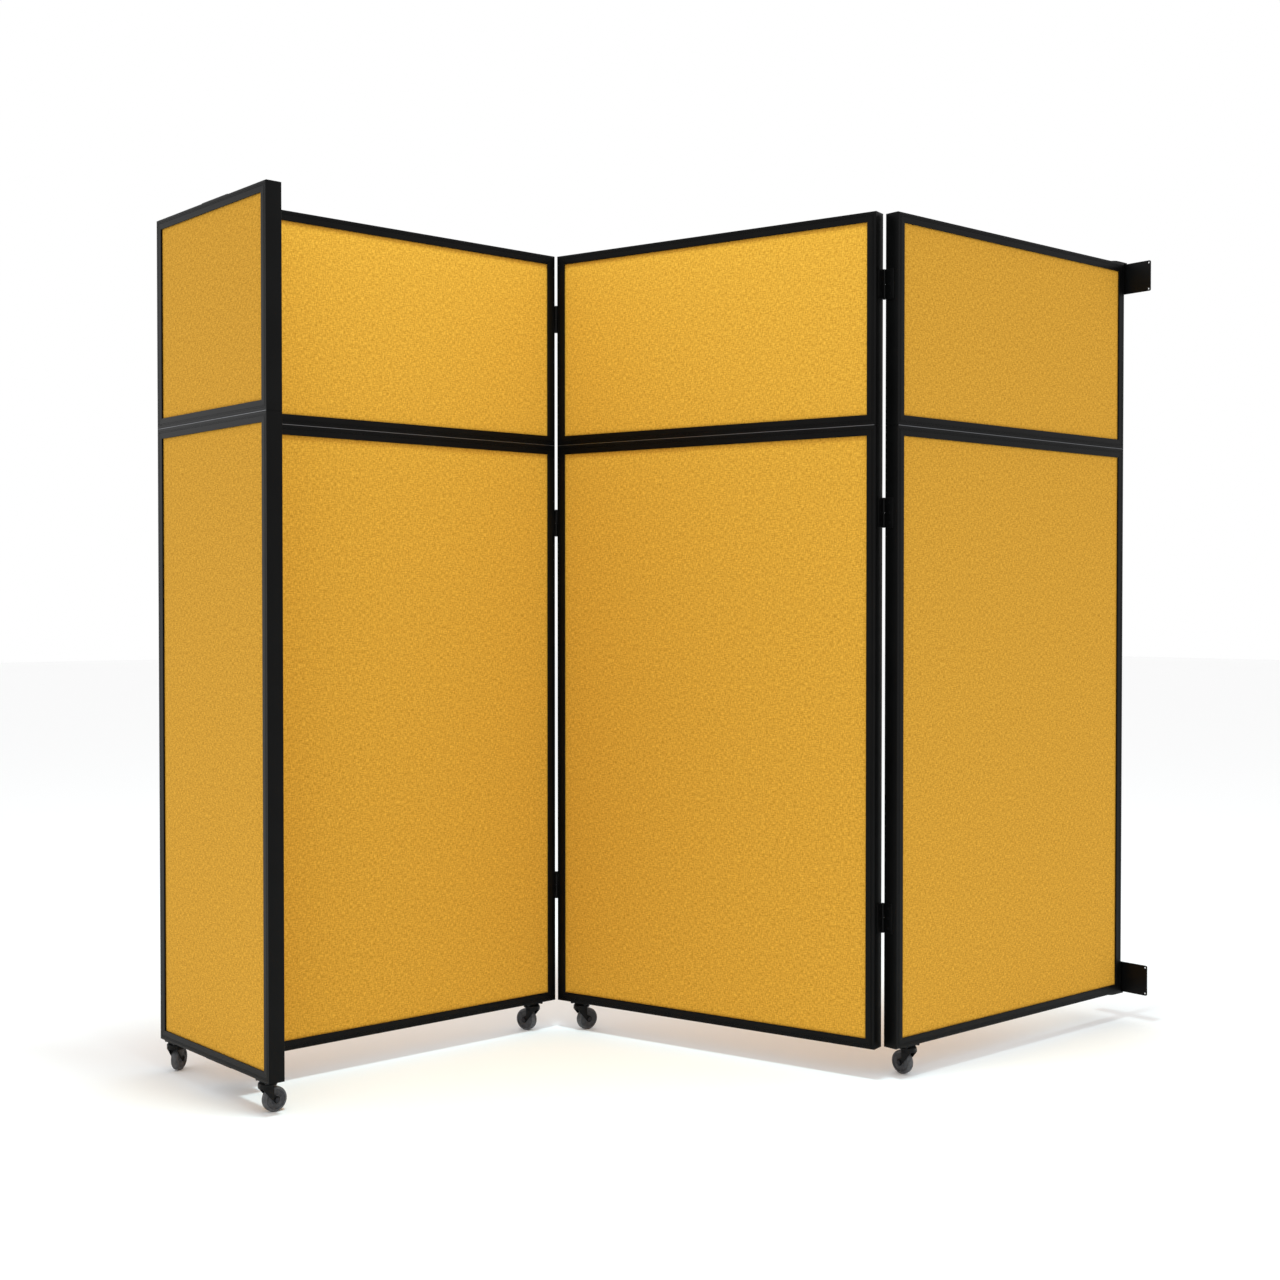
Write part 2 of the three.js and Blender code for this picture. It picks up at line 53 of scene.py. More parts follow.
def linear(colour):
    """An sRGB hex colour as four linear numbers: each part c becomes c / 12.92 where it is small,
    or else ((c + 0.055) / 1.055) to the power 2.4."""
    parts = np.array([int(colour[i:i + 2], 16) for i in (1, 3, 5)]) / 255
    light = np.where(parts <= 0.04045, parts / 12.92, ((parts + 0.055) / 1.055) ** 2.4)
    return (*light.tolist(), 1.0)


def add_node(tree, kind, inputs=None, **settings):
    """Adds a node. An input given as (node, output name) is linked, and any other is a value."""
    node = tree.nodes.new(kind)
    for name, value in settings.items():
        setattr(node, name, value)
    for name, value in (inputs or {}).items():
        if isinstance(value, tuple) and isinstance(value[0], bpy.types.Node):
            tree.links.new(value[0].outputs[value[1]], node.inputs[name])
        else:
            node.inputs[name].default_value = value
    return node


def new_material(name, **shader_values):
    """A material whose surface is one Principled shader with these values on its sockets."""
    material = bpy.data.materials.new(name)
    material.use_nodes = True
    tree = material.node_tree
    tree.nodes.clear()
    shader = add_node(tree, "ShaderNodeBsdfPrincipled", shader_values)
    add_node(tree, "ShaderNodeOutputMaterial", {"Surface": (shader, "BSDF")})
    return material, tree, shader


def vary_colour(tree, shader, source, dark, light, span=(0.0, 1.0)):
    """Drives the base colour by a factor, (node, output name), from dark to light over a span."""
    ramp = add_node(tree, "ShaderNodeValToRGB", {"Fac": source})
    for stop, position, colour in zip(ramp.color_ramp.elements, span, (dark, light)):
        stop.position = position
        stop.color = linear(colour)
    tree.links.new(ramp.outputs["Color"], shader.inputs["Base Color"])


def vary_roughness(tree, shader, source, low, high):
    """Drives the roughness by a factor, (node, output name), from low to high."""
    sheen = add_node(tree, "ShaderNodeMapRange", {"Value": source, "To Min": low, "To Max": high})
    tree.links.new(sheen.outputs["Result"], shader.inputs["Roughness"])


def add_relief(tree, shader, source, strength, distance):
    """Bumps the surface by a height, (node, output name)."""
    relief = add_node(tree, "ShaderNodeBump", {"Height": source, "Strength": strength,
                                               "Distance": distance})
    tree.links.new(relief.outputs["Normal"], shader.inputs["Normal"])


# Matte painted floor: near white, with no gloss.
floor_paint, _, _ = new_material("matte_white_floor_paint", **{
    "Base Color": linear("#FAFAFA"), "Roughness": 0.9, "Specular IOR Level": 0.1})

FLOOR_REACH = 40.0
floor_mesh = bpy.data.meshes.new("studio_floor")
floor_corners = [(-1, -1), (1, -1), (1, 1), (-1, 1)]
floor_mesh.from_pydata([(FLOOR_REACH * x, FLOOR_REACH * y, 0) for x, y in floor_corners],
                       [], [(0, 1, 2, 3)])
floor = bpy.data.objects.new("studio_floor", floor_mesh)
floor.data.materials.append(floor_paint)
bpy.context.scene.collection.objects.link(floor)

world = bpy.data.worlds.new("studio")
bpy.context.scene.world = world
world.use_nodes = True
world.node_tree.nodes["Background"].inputs["Color"].default_value = (1, 1, 1, 1)
world.node_tree.nodes["Background"].inputs["Strength"].default_value = 1.0
bpy.context.scene.view_settings.view_transform = "Standard"


def soft_box(name, place, target, width, height, watts, colour, rays):
    """An area light at place, turned so that its face looks at target. It lights only by the
    kind of ray given, diffuse or glossy, and isn't seen itself."""
    light = bpy.data.lights.new(name, "AREA")
    light.shape = "RECTANGLE"
    light.size = width
    light.size_y = height
    light.energy = watts
    light.color = linear(colour)[:3]
    lamp = bpy.data.objects.new(name, light)
    lamp.location = place
    way = np.subtract(target, place)
    flat = np.hypot(way[0], way[1])
    lamp.rotation_euler = (np.arctan2(flat, -way[2]), 0, np.arctan2(-way[0], way[1]))
    lamp.visible_camera = False
    lamp.visible_glossy = rays == "glossy"
    lamp.visible_diffuse = rays == "diffuse"
    bpy.context.scene.collection.objects.link(lamp)


soft_box("fold_top_light", (-1.00, -0.68, 5.50), (-0.15, 0.43, 1.40), 0.8, 1.0, 160,
         "#DEF9FF", "diffuse")
soft_box("end_panel_card", (-3.10, 2.50, 1.40), (-1.36, 0.48, 1.35), 2.4, 3.2, 16,
         "#FFFFFF", "glossy")

camera = bpy.data.objects.new("camera", bpy.data.cameras.new("camera"))
camera.data.sensor_width = 36
camera.data.lens = 48.07
camera.data.clip_end = 200
camera.location = (-3.6256, -3.9773, 1.3774)
camera.rotation_euler = (np.radians(90 - 1.0262), 0, np.radians(-41.0270))
bpy.context.scene.collection.objects.link(camera)
bpy.context.scene.camera = camera


# ---- frame extrusions ----------------------------------------------------------------------
# Each panel section is a frame of black anodised aluminium extrusion, cut at 45 degrees and
# screwed to corner keys inside. Its face has a rounded outer edge, two drawn lines along it and
# a lip that the fabric board tucks behind.

PANEL_WIDTHS = {"wall_panel": 1.150, "middle_panel": 1.150, "outer_panel": 1.150,
                "end_panel": 0.660}
PANEL_TURNS = {"wall_panel": 0, "middle_panel": -75, "outer_panel": 0, "end_panel": -90}
PANEL_BODIES = {"wall_panel": "wall_panel", "middle_panel": "middle_panel",
                "outer_panel": "outer_panel", "end_panel": "outer_panel"}
HALF_THICKNESS = 0.024
FRAME_FACE = 0.029
CHANNEL_FLOOR = 0.021
LIP = 0.0197
EDGE_RADIUS = 0.0015
INNER_RADIUS = 0.0012
LIP_RADIUS = 0.0008
DRAWN_LINES = (0.0075, 0.0115)  # from the outer edge to each line
LINE_WIDTH = 0.0012
LINE_DEPTH = 0.0009
LINE_SLOPE = 0.0003  # how far each side of a line leans in
MITRE_GAP = 0.00012
CREASE = 35  # degrees: edges sharper than this stay sharp
joints = {joint["name"]: joint for joint in frame["joints"]}


def placed(shells, origin, along, back):
    """Local shells in world places: each point is origin + x times along + y times back + z
    straight up."""
    axes = np.array([along, back, (0, 0, 1)], dtype=float)
    return [(np.asarray(origin, dtype=float) + points @ axes, faces) for points, faces in shells]


def panel_axes(panel):
    """The panel's direction along its width, from its turn on the floor at rest, and that turned
    a quarter to the left, which is its back."""
    turn = np.radians(PANEL_TURNS[panel])
    along = np.array([np.cos(turn), np.sin(turn), 0.0])
    return along, np.array([-along[1], along[0], 0.0])


def arc(centre, radius, first, last, steps):
    """Points on a circle from one angle to another in degrees, both ends included."""
    turn = np.radians(np.linspace(first, last, steps + 1))
    return np.stack([centre[0] + radius * np.cos(turn), centre[1] + radius * np.sin(turn)], 1)


def loft(rings, closed=False):
    """A closed shell through equal rings of points: quads between neighbours, and a flat cap on
    each end or, when closed, quads from the last ring back to the first."""
    rings = np.asarray(rings, dtype=float)
    rows, count = rings.shape[:2]
    row = np.arange(rows if closed else rows - 1)[:, None]
    spot = np.arange(count)[None, :]
    after = (spot + 1) % count
    nxt = (row + 1) % rows
    quads = np.stack(np.broadcast_arrays(
        row * count + spot, row * count + after, nxt * count + after, nxt * count + spot), -1)
    faces = quads.reshape(-1, 4).tolist()
    if not closed:
        faces.append(np.arange(count)[::-1].tolist())
        faces.append((np.arange(count) + (rows - 1) * count).tolist())
    return rings.reshape(-1, 3), faces


def faced_out(shell):
    """The same shell with its faces turned outward: the signed volume, the sum over all fan
    triangles of a . (b x c) / 6, is made positive."""
    points, faces = shell
    volume = 0.0
    for size in {len(face) for face in faces}:
        corner = points[np.array([face for face in faces if len(face) == size])]
        for k in range(1, size - 1):
            volume += np.einsum("ij,ij->", corner[:, 0],
                                np.cross(corner[:, k], corner[:, k + 1]))
    return (points, [face[::-1] for face in faces]) if volume < 0 else shell


def joined(shells):
    """Several shells as one set of points and faces."""
    start = np.cumsum([0] + [len(points) for points, _ in shells[:-1]])
    faces = [[int(first) + v for v in face] for first, (_, own) in zip(start, shells)
             for face in own]
    return np.concatenate([points for points, _ in shells]), faces


def make_piece(name, shells, material, body, replaced=(), uv=None):
    """One finished piece: its mesh, smooth but for its creases, its map in metres where given,
    its material, and what it stands for and rides on."""
    points, faces = joined([faced_out(shell) for shell in shells])
    mesh = bpy.data.meshes.new(name)
    mesh.from_pydata(points.tolist(), [], faces)
    mesh.shade_smooth()
    mesh.set_sharp_from_angle(angle=np.radians(CREASE))
    if uv is not None:
        corner = np.empty(len(mesh.loops), dtype=np.int32)
        mesh.loops.foreach_get("vertex_index", corner)
        layer = mesh.uv_layers.new(name="metres")
        layer.data.foreach_set("uv", uv[corner].astype(np.float32).ravel())
    mesh.materials.append(material)
    piece = bpy.data.objects.new(name, mesh)
    bpy.context.scene.collection.objects.link(piece)
    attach(piece, body)
    if replaced:
        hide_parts(*replaced)
    return piece


def lying(rings):
    """A shape made about z, laid along x: z becomes x, x becomes y and y becomes z."""
    return rings[..., (2, 0, 1)]


def extrusion_section():
    """The extrusion's outline as pairs (in from the outer edge, across the thickness): the front
    half from the outer edge to the channel floor, then the same mirrored."""
    front = [arc((EDGE_RADIUS, HALF_THICKNESS - EDGE_RADIUS), EDGE_RADIUS, 180, 90, 5)]
    for line in DRAWN_LINES:
        front.append(np.array([
            (line, HALF_THICKNESS), (line + LINE_SLOPE, HALF_THICKNESS - LINE_DEPTH),
            (line + LINE_WIDTH - LINE_SLOPE, HALF_THICKNESS - LINE_DEPTH),
            (line + LINE_WIDTH, HALF_THICKNESS)]))
    front.append(arc((FRAME_FACE - INNER_RADIUS, HALF_THICKNESS - INNER_RADIUS), INNER_RADIUS,
                     90, 0, 3))
    front.append(arc((FRAME_FACE - LIP_RADIUS, LIP + LIP_RADIUS), LIP_RADIUS, 0, -90, 2))
    front.append(np.array([(CHANNEL_FLOOR, LIP)]))
    front = np.concatenate(front)
    return np.concatenate([front, (front * (1, -1))[::-1]])


def mitred_bar(section, length):
    """A bar along x whose ends are cut at 45 degrees: at each end x is half the length less the
    point's own distance in from the outer edge and the gap. Returns it and its map."""
    inward, across = section[:, 0], section[:, 1]
    reach = length / 2 - inward - MITRE_GAP
    rings = np.stack([np.stack([side * reach, across, inward], 1) for side in (-1, 1)])
    girth = np.cumsum(np.r_[0, np.hypot(*np.diff(section, axis=0).T)])
    uv = np.concatenate([np.stack([side * reach, girth], 1) for side in (-1, 1)])
    return loft(rings), uv


def section_frame(width, height):
    """Four mitred bars round a rectangle that stands on z = 0, centred on x = 0. Each bar's
    own inward direction is turned to the middle of the frame."""
    shells, maps = [], []
    for side, length in enumerate((width, height, width, height)):
        (points, faces), uv = mitred_bar(extrusion_section(), length)
        x, y, inward = points.T
        out = (height if side % 2 == 0 else width) / 2 - inward
        turn = np.array([(1, 0, 0, -1), (0, 1, 1, 0), (-1, 0, 0, 1), (0, -1, -1, 0)][side])
        local = np.stack([turn[0] * x + turn[1] * out, y,
                          turn[2] * x + turn[3] * out + height / 2], 1)
        shells.append((local, faces))
        maps.append(uv)
    return shells, np.concatenate(maps)


# Black anodised aluminium: a deep black oxide over metal, satin, with the faint drawn lines
# that the die leaves along each bar. The lines are 0.8 mm apart, coarser than real ones.
DIE_LINES_PER_METRE = 1250
anodised, tree, shader = new_material("black_anodised_extrusion", **{
    "Roughness": 0.36, "Specular IOR Level": 0.10})
uv_map = add_node(tree, "ShaderNodeUVMap", uv_map="metres")
drawn = add_node(tree, "ShaderNodeVectorMath", {0: (uv_map, "UV"), 1: (2, DIE_LINES_PER_METRE, 1)},
                 operation="MULTIPLY")
lines = add_node(tree, "ShaderNodeTexNoise", {"Vector": (drawn, "Vector"), "Scale": 1.0,
                                              "Detail": 2.0})
cloud = add_node(tree, "ShaderNodeTexNoise", {
    "Vector": (add_node(tree, "ShaderNodeTexCoord"), "Object"), "Scale": 9.0, "Detail": 3.0})
vary_colour(tree, shader, (cloud, "Fac"), "#040404", "#080808", (0.3, 0.7))
vary_roughness(tree, shader, (lines, "Fac"), 0.30, 0.44)
add_relief(tree, shader, (lines, "Fac"), 0.08, 0.0002)

sections = {}
for panel, width in PANEL_WIDTHS.items():
    along, back = panel_axes(panel)
    for part in ("lower", "upper"):
        low, high = (np.array(corner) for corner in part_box(f"{panel}_{part}_frame"))
        base = (low + high) / 2
        base[2] = low[2]
        height = high[2] - low[2]
        sections[panel, part] = (base, along, back, width, height)
        shells, uv = section_frame(width, height)
        make_piece(f"{panel}_{part}_extrusions", placed(shells, base, along, back), anodised,
                   PANEL_BODIES[panel], [f"{panel}_{part}_frame"], uv)


# ---- fabric boards -------------------------------------------------------------------------
# Each section holds an acoustic core with woven polyester pulled tight over both faces and
# glued round its edges. The edge drops into the frame's channel, so the cloth rolls over softly
# beside the frame and lies flat, a little crowned, across the middle.

BOARD_HALF = 0.0192
BOARD_EDGE = 0.022  # from the section's outer edge to the board's edge
CROWN = 0.0011
CROWN_ROLL = 0.030
DIP = 0.0009  # how much lower the cloth lies right beside the frame
DIP_ROLL = 0.0045
TUCK = 0.0012  # how much the board thins at its very edge
RIPPLE_RISE = 0.05  # from the opening in to where the ripples reach their full height
NEAR_EDGE = (0, 0.004, 0.0068, 0.0076, 0.009, 0.011, 0.014, 0.018, 0.024, 0.034, 0.050)
MESH_STEP = 0.026
REAR_MAP_SHIFT = (3.7, 5.1)  # so that the two faces don't show the same slubs


def spaced(span):
    """Places from 0 to span: close together near both ends, then about a step apart."""
    near = np.array(NEAR_EDGE)
    count = max(2, round((span - 2 * near[-1]) / MESH_STEP))
    middle = np.linspace(near[-1], span - near[-1], count)
    return np.concatenate([near[:-1], middle, (span - near[:-1])[::-1]])


def fabric_board(width, height):
    """A closed board centred on x = 0 whose faces are y = half thickness + crown * (1 - exp(-d /
    roll)) - dip * exp(-d / dip roll), with d the distance in from the frame's opening, plus two
    slow ripples under a fifth of a millimetre, less a tuck at the edge. Returns it and its map."""
    x = spaced(width - 2 * BOARD_EDGE) - (width / 2 - BOARD_EDGE)
    z = spaced(height - 2 * BOARD_EDGE) + BOARD_EDGE
    z, x = np.meshgrid(z, x, indexing="ij")
    opening = np.minimum(width / 2 - FRAME_FACE - abs(x),
                         np.minimum(z, height - z) - FRAME_FACE)
    depth = np.clip(opening, 0, None)
    ripple = 0.0001 * np.sin(9.1 * x + 1.3 * z) + 0.00008 * np.sin(5.3 * z - 3.7 * x + 1.9)
    rise = CROWN * (1 - np.exp(-depth / CROWN_ROLL)) + ripple * np.minimum(depth / RIPPLE_RISE, 1)
    rise = rise - DIP * np.exp(-depth / DIP_ROLL)
    to_edge = np.minimum(width / 2 - abs(x), np.minimum(z, height - z)) - BOARD_EDGE
    rise = rise - TUCK * (to_edge < 1e-6)
    front = np.stack([x, -BOARD_HALF - rise, z], -1).reshape(-1, 3)
    rear = np.stack([x, BOARD_HALF + rise, z], -1).reshape(-1, 3)
    rows, columns = x.shape
    number = np.arange(rows * columns).reshape(rows, columns)
    quads = np.stack([number[:-1, :-1], number[:-1, 1:], number[1:, 1:], number[1:, :-1]], -1)
    quads = quads.reshape(-1, 4)
    border = np.concatenate([number[0, :-1], number[:-1, -1], number[-1, :0:-1], number[:0:-1, 0]])
    after = np.roll(border, -1)
    shift = rows * columns
    rim = np.stack([border + shift, after + shift, after, border], 1)
    faces = np.concatenate([quads, quads[:, ::-1] + shift, rim]).tolist()
    uv = np.stack([x, z], -1).reshape(-1, 2)
    return (np.concatenate([front, rear]), faces), np.concatenate([uv, uv + REAR_MAP_SHIFT])


# Woven polyester panel cloth: matte, gold, made of slubbed yarns two shades apart, so it looks
# mottled close up. Its yarns are 0.9 mm apart; the slubs are drawn 3 mm wide and 12 mm long, so
# that they show.
SLUBS_PER_METRE = 330
THREADS_PER_METRE = 1100
cloth, tree, shader = new_material("woven_gold_polyester", **{
    "Roughness": 0.95, "Specular IOR Level": 0.08, "Sheen Weight": 0.05, "Sheen Roughness": 0.5,
    "Sheen Tint": linear("#E8B860")})
uv_map = add_node(tree, "ShaderNodeUVMap", uv_map="metres")


def slubs(across, up):
    """Noise in the cloth's map, stretched by these counts to the metre."""
    spread = add_node(tree, "ShaderNodeVectorMath", {0: (uv_map, "UV"), 1: (across, up, 1)},
                      operation="MULTIPLY")
    return add_node(tree, "ShaderNodeTexNoise", {"Vector": (spread, "Vector"), "Scale": 1.0,
                                                 "Detail": 2.0, "Roughness": 0.6})


warp = slubs(SLUBS_PER_METRE, SLUBS_PER_METRE / 4)
weft = slubs(SLUBS_PER_METRE / 4, SLUBS_PER_METRE)
yarns = add_node(tree, "ShaderNodeMath", {0: (warp, "Fac"), 1: (weft, "Fac")}, operation="ADD")
shade = add_node(tree, "ShaderNodeMapRange", {"Value": (yarns, "Value"), "From Min": 0.75,
                                              "From Max": 1.25})
vary_colour(tree, shader, (shade, "Result"), "#B58126", "#E3AC3F")
thread = add_node(tree, "ShaderNodeVectorMath", {
    0: (uv_map, "UV"), 1: (THREADS_PER_METRE * np.pi, THREADS_PER_METRE * np.pi, 1)},
    operation="MULTIPLY")
thread = add_node(tree, "ShaderNodeSeparateXYZ", {"Vector": (thread, "Vector")})
over = add_node(tree, "ShaderNodeMath", {0: (thread, "X")}, operation="SINE")
under = add_node(tree, "ShaderNodeMath", {0: (thread, "Y")}, operation="SINE")
weave = add_node(tree, "ShaderNodeMath", {0: (over, "Value"), 1: (under, "Value")},
                 operation="MULTIPLY")
height = add_node(tree, "ShaderNodeMath", {0: (weave, "Value"), 1: 0.15, 2: (yarns, "Value")},
                  operation="MULTIPLY_ADD")
add_relief(tree, shader, (height, "Value"), 0.35, 0.0006)

for (panel, part), (base, along, back, width, height) in sections.items():
    shell, uv = fabric_board(width, height)
    board = make_piece(f"{panel}_{part}_fabric_board", placed([shell], base, along, back), cloth,
                       PANEL_BODIES[panel], [f"{panel}_{part}_board"], uv)


# ---- section joiners -----------------------------------------------------------------------
# A flat bar of plain mill aluminium lies loose in grooves between the two sections of a panel
# and keeps them in line. It shows only in the seam, as a dull silver edge.

ROLLING_LINES_PER_METRE = 1000
mill, tree, shader = new_material("mill_finish_aluminium", **{
    "Base Color": linear("#B4B6B8"), "Metallic": 1.0, "Roughness": 0.42})
coordinates = add_node(tree, "ShaderNodeTexCoord")
# Rolling lines run along the bar, about 1 mm apart up its height.
rolled = add_node(tree, "ShaderNodeVectorMath", {
    0: (coordinates, "Object"), 1: (4, 4, ROLLING_LINES_PER_METRE)}, operation="MULTIPLY")
lines = add_node(tree, "ShaderNodeTexNoise", {"Vector": (rolled, "Vector"), "Scale": 1.0})
vary_roughness(tree, shader, (lines, "Fac"), 0.34, 0.5)
for panel in PANEL_WIDTHS:
    materials = frame["nodes"][f"{panel}_section_joiner"].data.materials
    materials.clear()
    materials.append(mill)


# ---- seam strips ---------------------------------------------------------------------------
# Two flat metal strips fill each seam, one before the joiner and one behind it. Their light grey is
# a painted highlight, standing in for the light that the rounded edges of the two frames catch
# along the seam. Their edges come almost flush with the frames and show as a fine light line, and a
# black plug closes the seam at each end of the panel.

SEAM = 0.002
STRIP_THICKNESS = 0.0017
STRIP_SIDES = (0.0036, 0.0237)  # from the panel's middle to each strip's edges
STRIP_CHAMFER = 0.00025  # off the corners of the edge that shows
STRIP_END = 0.004  # from the panel's end to the strip's end
PLUG_END = 0.0006  # from the panel's end to the plug's face
PLUG_GAP = 0.0002  # between a strip and a plug

# A grey much lighter than the black frames: a painted highlight along the seam, not the strip's own
# finish.
seam_highlight_paint, tree, shader = new_material("grey_anodised_strip", **{
    "Base Color": linear("#77787B"), "Metallic": 1.0, "Roughness": 0.4})
coordinates = add_node(tree, "ShaderNodeTexCoord")
# The drawn lines run along the strip and are drawn 0.8 mm apart.
drawn = add_node(tree, "ShaderNodeVectorMath", {
    0: (coordinates, "Object"), 1: 3 * (DIE_LINES_PER_METRE,)}, operation="MULTIPLY")
lines = add_node(tree, "ShaderNodeTexNoise", {"Vector": (drawn, "Vector"), "Scale": 1.0})
vary_roughness(tree, shader, (lines, "Fac"), 0.34, 0.46)


def bar(outline, *places):
    """A bar along x between two places, with this outline of (y, z) pairs."""
    return loft([np.column_stack([np.full(len(outline), x), outline]) for x in places])


for panel, width in PANEL_WIDTHS.items():
    base, along, back, _, _ = sections[panel, "upper"]
    middle = base - (0, 0, SEAM / 2)
    half = width / 2 - STRIP_END
    strips = []
    for side in (-1, 1):
        near, far = (side * edge for edge in STRIP_SIDES)
        low = STRIP_THICKNESS / 2
        tip = far - side * STRIP_CHAMFER
        corner = low - STRIP_CHAMFER
        strips.append(bar([(near, -low), (tip, -low), (far, -corner), (far, corner), (tip, low),
                           (near, low)], -half, half))
    make_piece(f"{panel}_seam_highlight_strips", placed(strips, middle, along, back), seam_highlight_paint,
               PANEL_BODIES[panel])
    y, z = STRIP_SIDES[1], STRIP_THICKNESS / 2
    plugs = [bar([(-y, -z), (y, -z), (y, z), (-y, z)],
                 end * (half + PLUG_GAP), end * (width / 2 - PLUG_END)) for end in (-1, 1)]
    uv = np.concatenate([points[:, :2] for points, _ in plugs])
    make_piece(f"{panel}_seam_plugs", placed(plugs, middle, along, back), anodised,
               PANEL_BODIES[panel], uv=uv)


# ---- hinges --------------------------------------------------------------------------------
# Lift-off hinges of pressed steel, powder-coated black. One leaf carries the pin, the other the
# socket, and each is held to its panel's end by three countersunk screws.

HINGE_HEIGHT = 0.088
KNUCKLE_RADIUS = 0.0038
KNUCKLE_CHAMFER = 0.0005
KNUCKLE_GAP = 0.0005
PIN_RADIUS = 0.0020
PIN_LENGTH = 0.034
PIN_CHAMFER = 0.001
SOCKET_CLEARANCE = 0.0004
LEAF_FACE = -0.0003  # the leaf's outer side, from the hinge axis
LEAF_THICKNESS = 0.0019
LEAF_WIDTH = 0.036
LEAF_CORNER = 0.003
LEAF_EDGE = 0.0004
TAB_START = 0.0012  # from the hinge axis
TAB_INSET = 0.0006  # from the knuckle's ends
TAB_OVERLAP = 0.001  # how far the tab runs onto the plate
LEAF_SCREWS = (-0.029, 0.0, 0.029)
LEAF_SCREW_HEAD = (0.0039, 0.0002, 0.0014)  # radius, height and socket
LEAF_SCREW_SUNK = 0.00008
TIP_RADIUS = 0.0004  # of the small flat where a turned shape closes on its axis


def turned(profile, steps, shape=None):
    """A solid of revolution about z through (radius, height) pairs. Where a shape is given, the
    radius of each ring is multiplied by that ring's own function of the angle."""
    turn = np.linspace(0, 2 * np.pi, steps, endpoint=False)
    rings = []
    for i, (radius, height) in enumerate(profile):
        r = radius * (shape[i](turn) if shape and shape[i] else 1.0)
        rings.append(np.stack([r * np.cos(turn), r * np.sin(turn), 0 * turn + height], 1))
    return np.array(rings)


def inset(outline, amount):
    """A closed outline moved inward: each point goes along the mean of its two edges' inward
    normals, so that both edges move by the amount."""
    before, after = np.roll(outline, 1, 0), np.roll(outline, -1, 0)
    def normal(edge):
        unit = edge / np.linalg.norm(edge, axis=1, keepdims=True)
        return np.stack([-unit[:, 1], unit[:, 0]], 1)
    first, second = normal(outline - before), normal(after - outline)
    mean = first + second
    return outline + amount * mean * 2 / np.sum(mean ** 2, 1, keepdims=True)


def slab(outline, low, high, edge):
    """A flat plate between two heights with its edges rounded: four rings a side, each inset by
    edge * (1 - sin t) and up or down by edge * (1 - cos t)."""
    turn = np.radians([0, 30, 60, 90])
    steps = [(edge * (1 - np.sin(t)), low + edge * (1 - np.cos(t))) for t in turn]
    steps += [(edge * (1 - np.sin(t)), high - edge * (1 - np.cos(t))) for t in turn[::-1]]
    rings = [np.column_stack([inset(outline, cut), np.full(len(outline), z)])
             for cut, z in steps]
    return np.array(rings)


def anticlockwise(outline):
    """The outline in the order that keeps its inside on the left."""
    x, y = outline.T
    area = np.sum(x * np.roll(y, -1) - np.roll(x, -1) * y)
    return outline if area > 0 else outline[::-1]


def hexagon(turn):
    """The radius of a hexagon of apothem 1 at each angle."""
    return 1 / np.cos(np.mod(turn, np.pi / 3) - np.pi / 6)


def screw_head(radius, height, socket):
    """A low domed head on z = 0 with a six-sided socket: the outer rings are round, and the
    inner ones follow a hexagon down into the head."""
    dome = [(radius, -0.0002), (radius, 0.3 * height), (0.93 * radius, 0.6 * height),
            (0.75 * radius, 0.88 * height), (0.52 * radius, height), (socket, height),
            (socket, 0.35 * height), (0.1 * socket, 0.3 * height)]
    return turned(dome, 36, [None] * 5 + [hexagon] * 3)


# Black powder coat over steel: a satin skin with the slight orange peel of baked powder, whose
# bumps are 1.5 mm across.
PEEL_PER_METRE = 650
powder, tree, shader = new_material("black_powder_coat", **{
    "Base Color": linear("#060606"), "Roughness": 0.4, "Specular IOR Level": 0.14})
coordinates = add_node(tree, "ShaderNodeTexCoord")
peel = add_node(tree, "ShaderNodeTexNoise", {"Vector": (coordinates, "Object"),
                                             "Scale": PEEL_PER_METRE, "Detail": 1.5})
vary_roughness(tree, shader, (peel, "Fac"), 0.32, 0.5)
add_relief(tree, shader, (peel, "Fac"), 0.25, 0.0003)

# Black zinc-plated steel: a near-black metal, slightly clouded, on screws, axles and pins.
zinc, tree, shader = new_material("black_zinc_plated_steel", **{
    "Base Color": linear("#2E2E30"), "Metallic": 1.0, "Roughness": 0.36})
coordinates = add_node(tree, "ShaderNodeTexCoord")
cloud = add_node(tree, "ShaderNodeTexNoise", {"Vector": (coordinates, "Object"),
                                              "Scale": 220.0, "Detail": 3.0})
vary_colour(tree, shader, (cloud, "Fac"), "#252527", "#3C3C3F")
vary_roughness(tree, shader, (cloud, "Fac"), 0.28, 0.48)


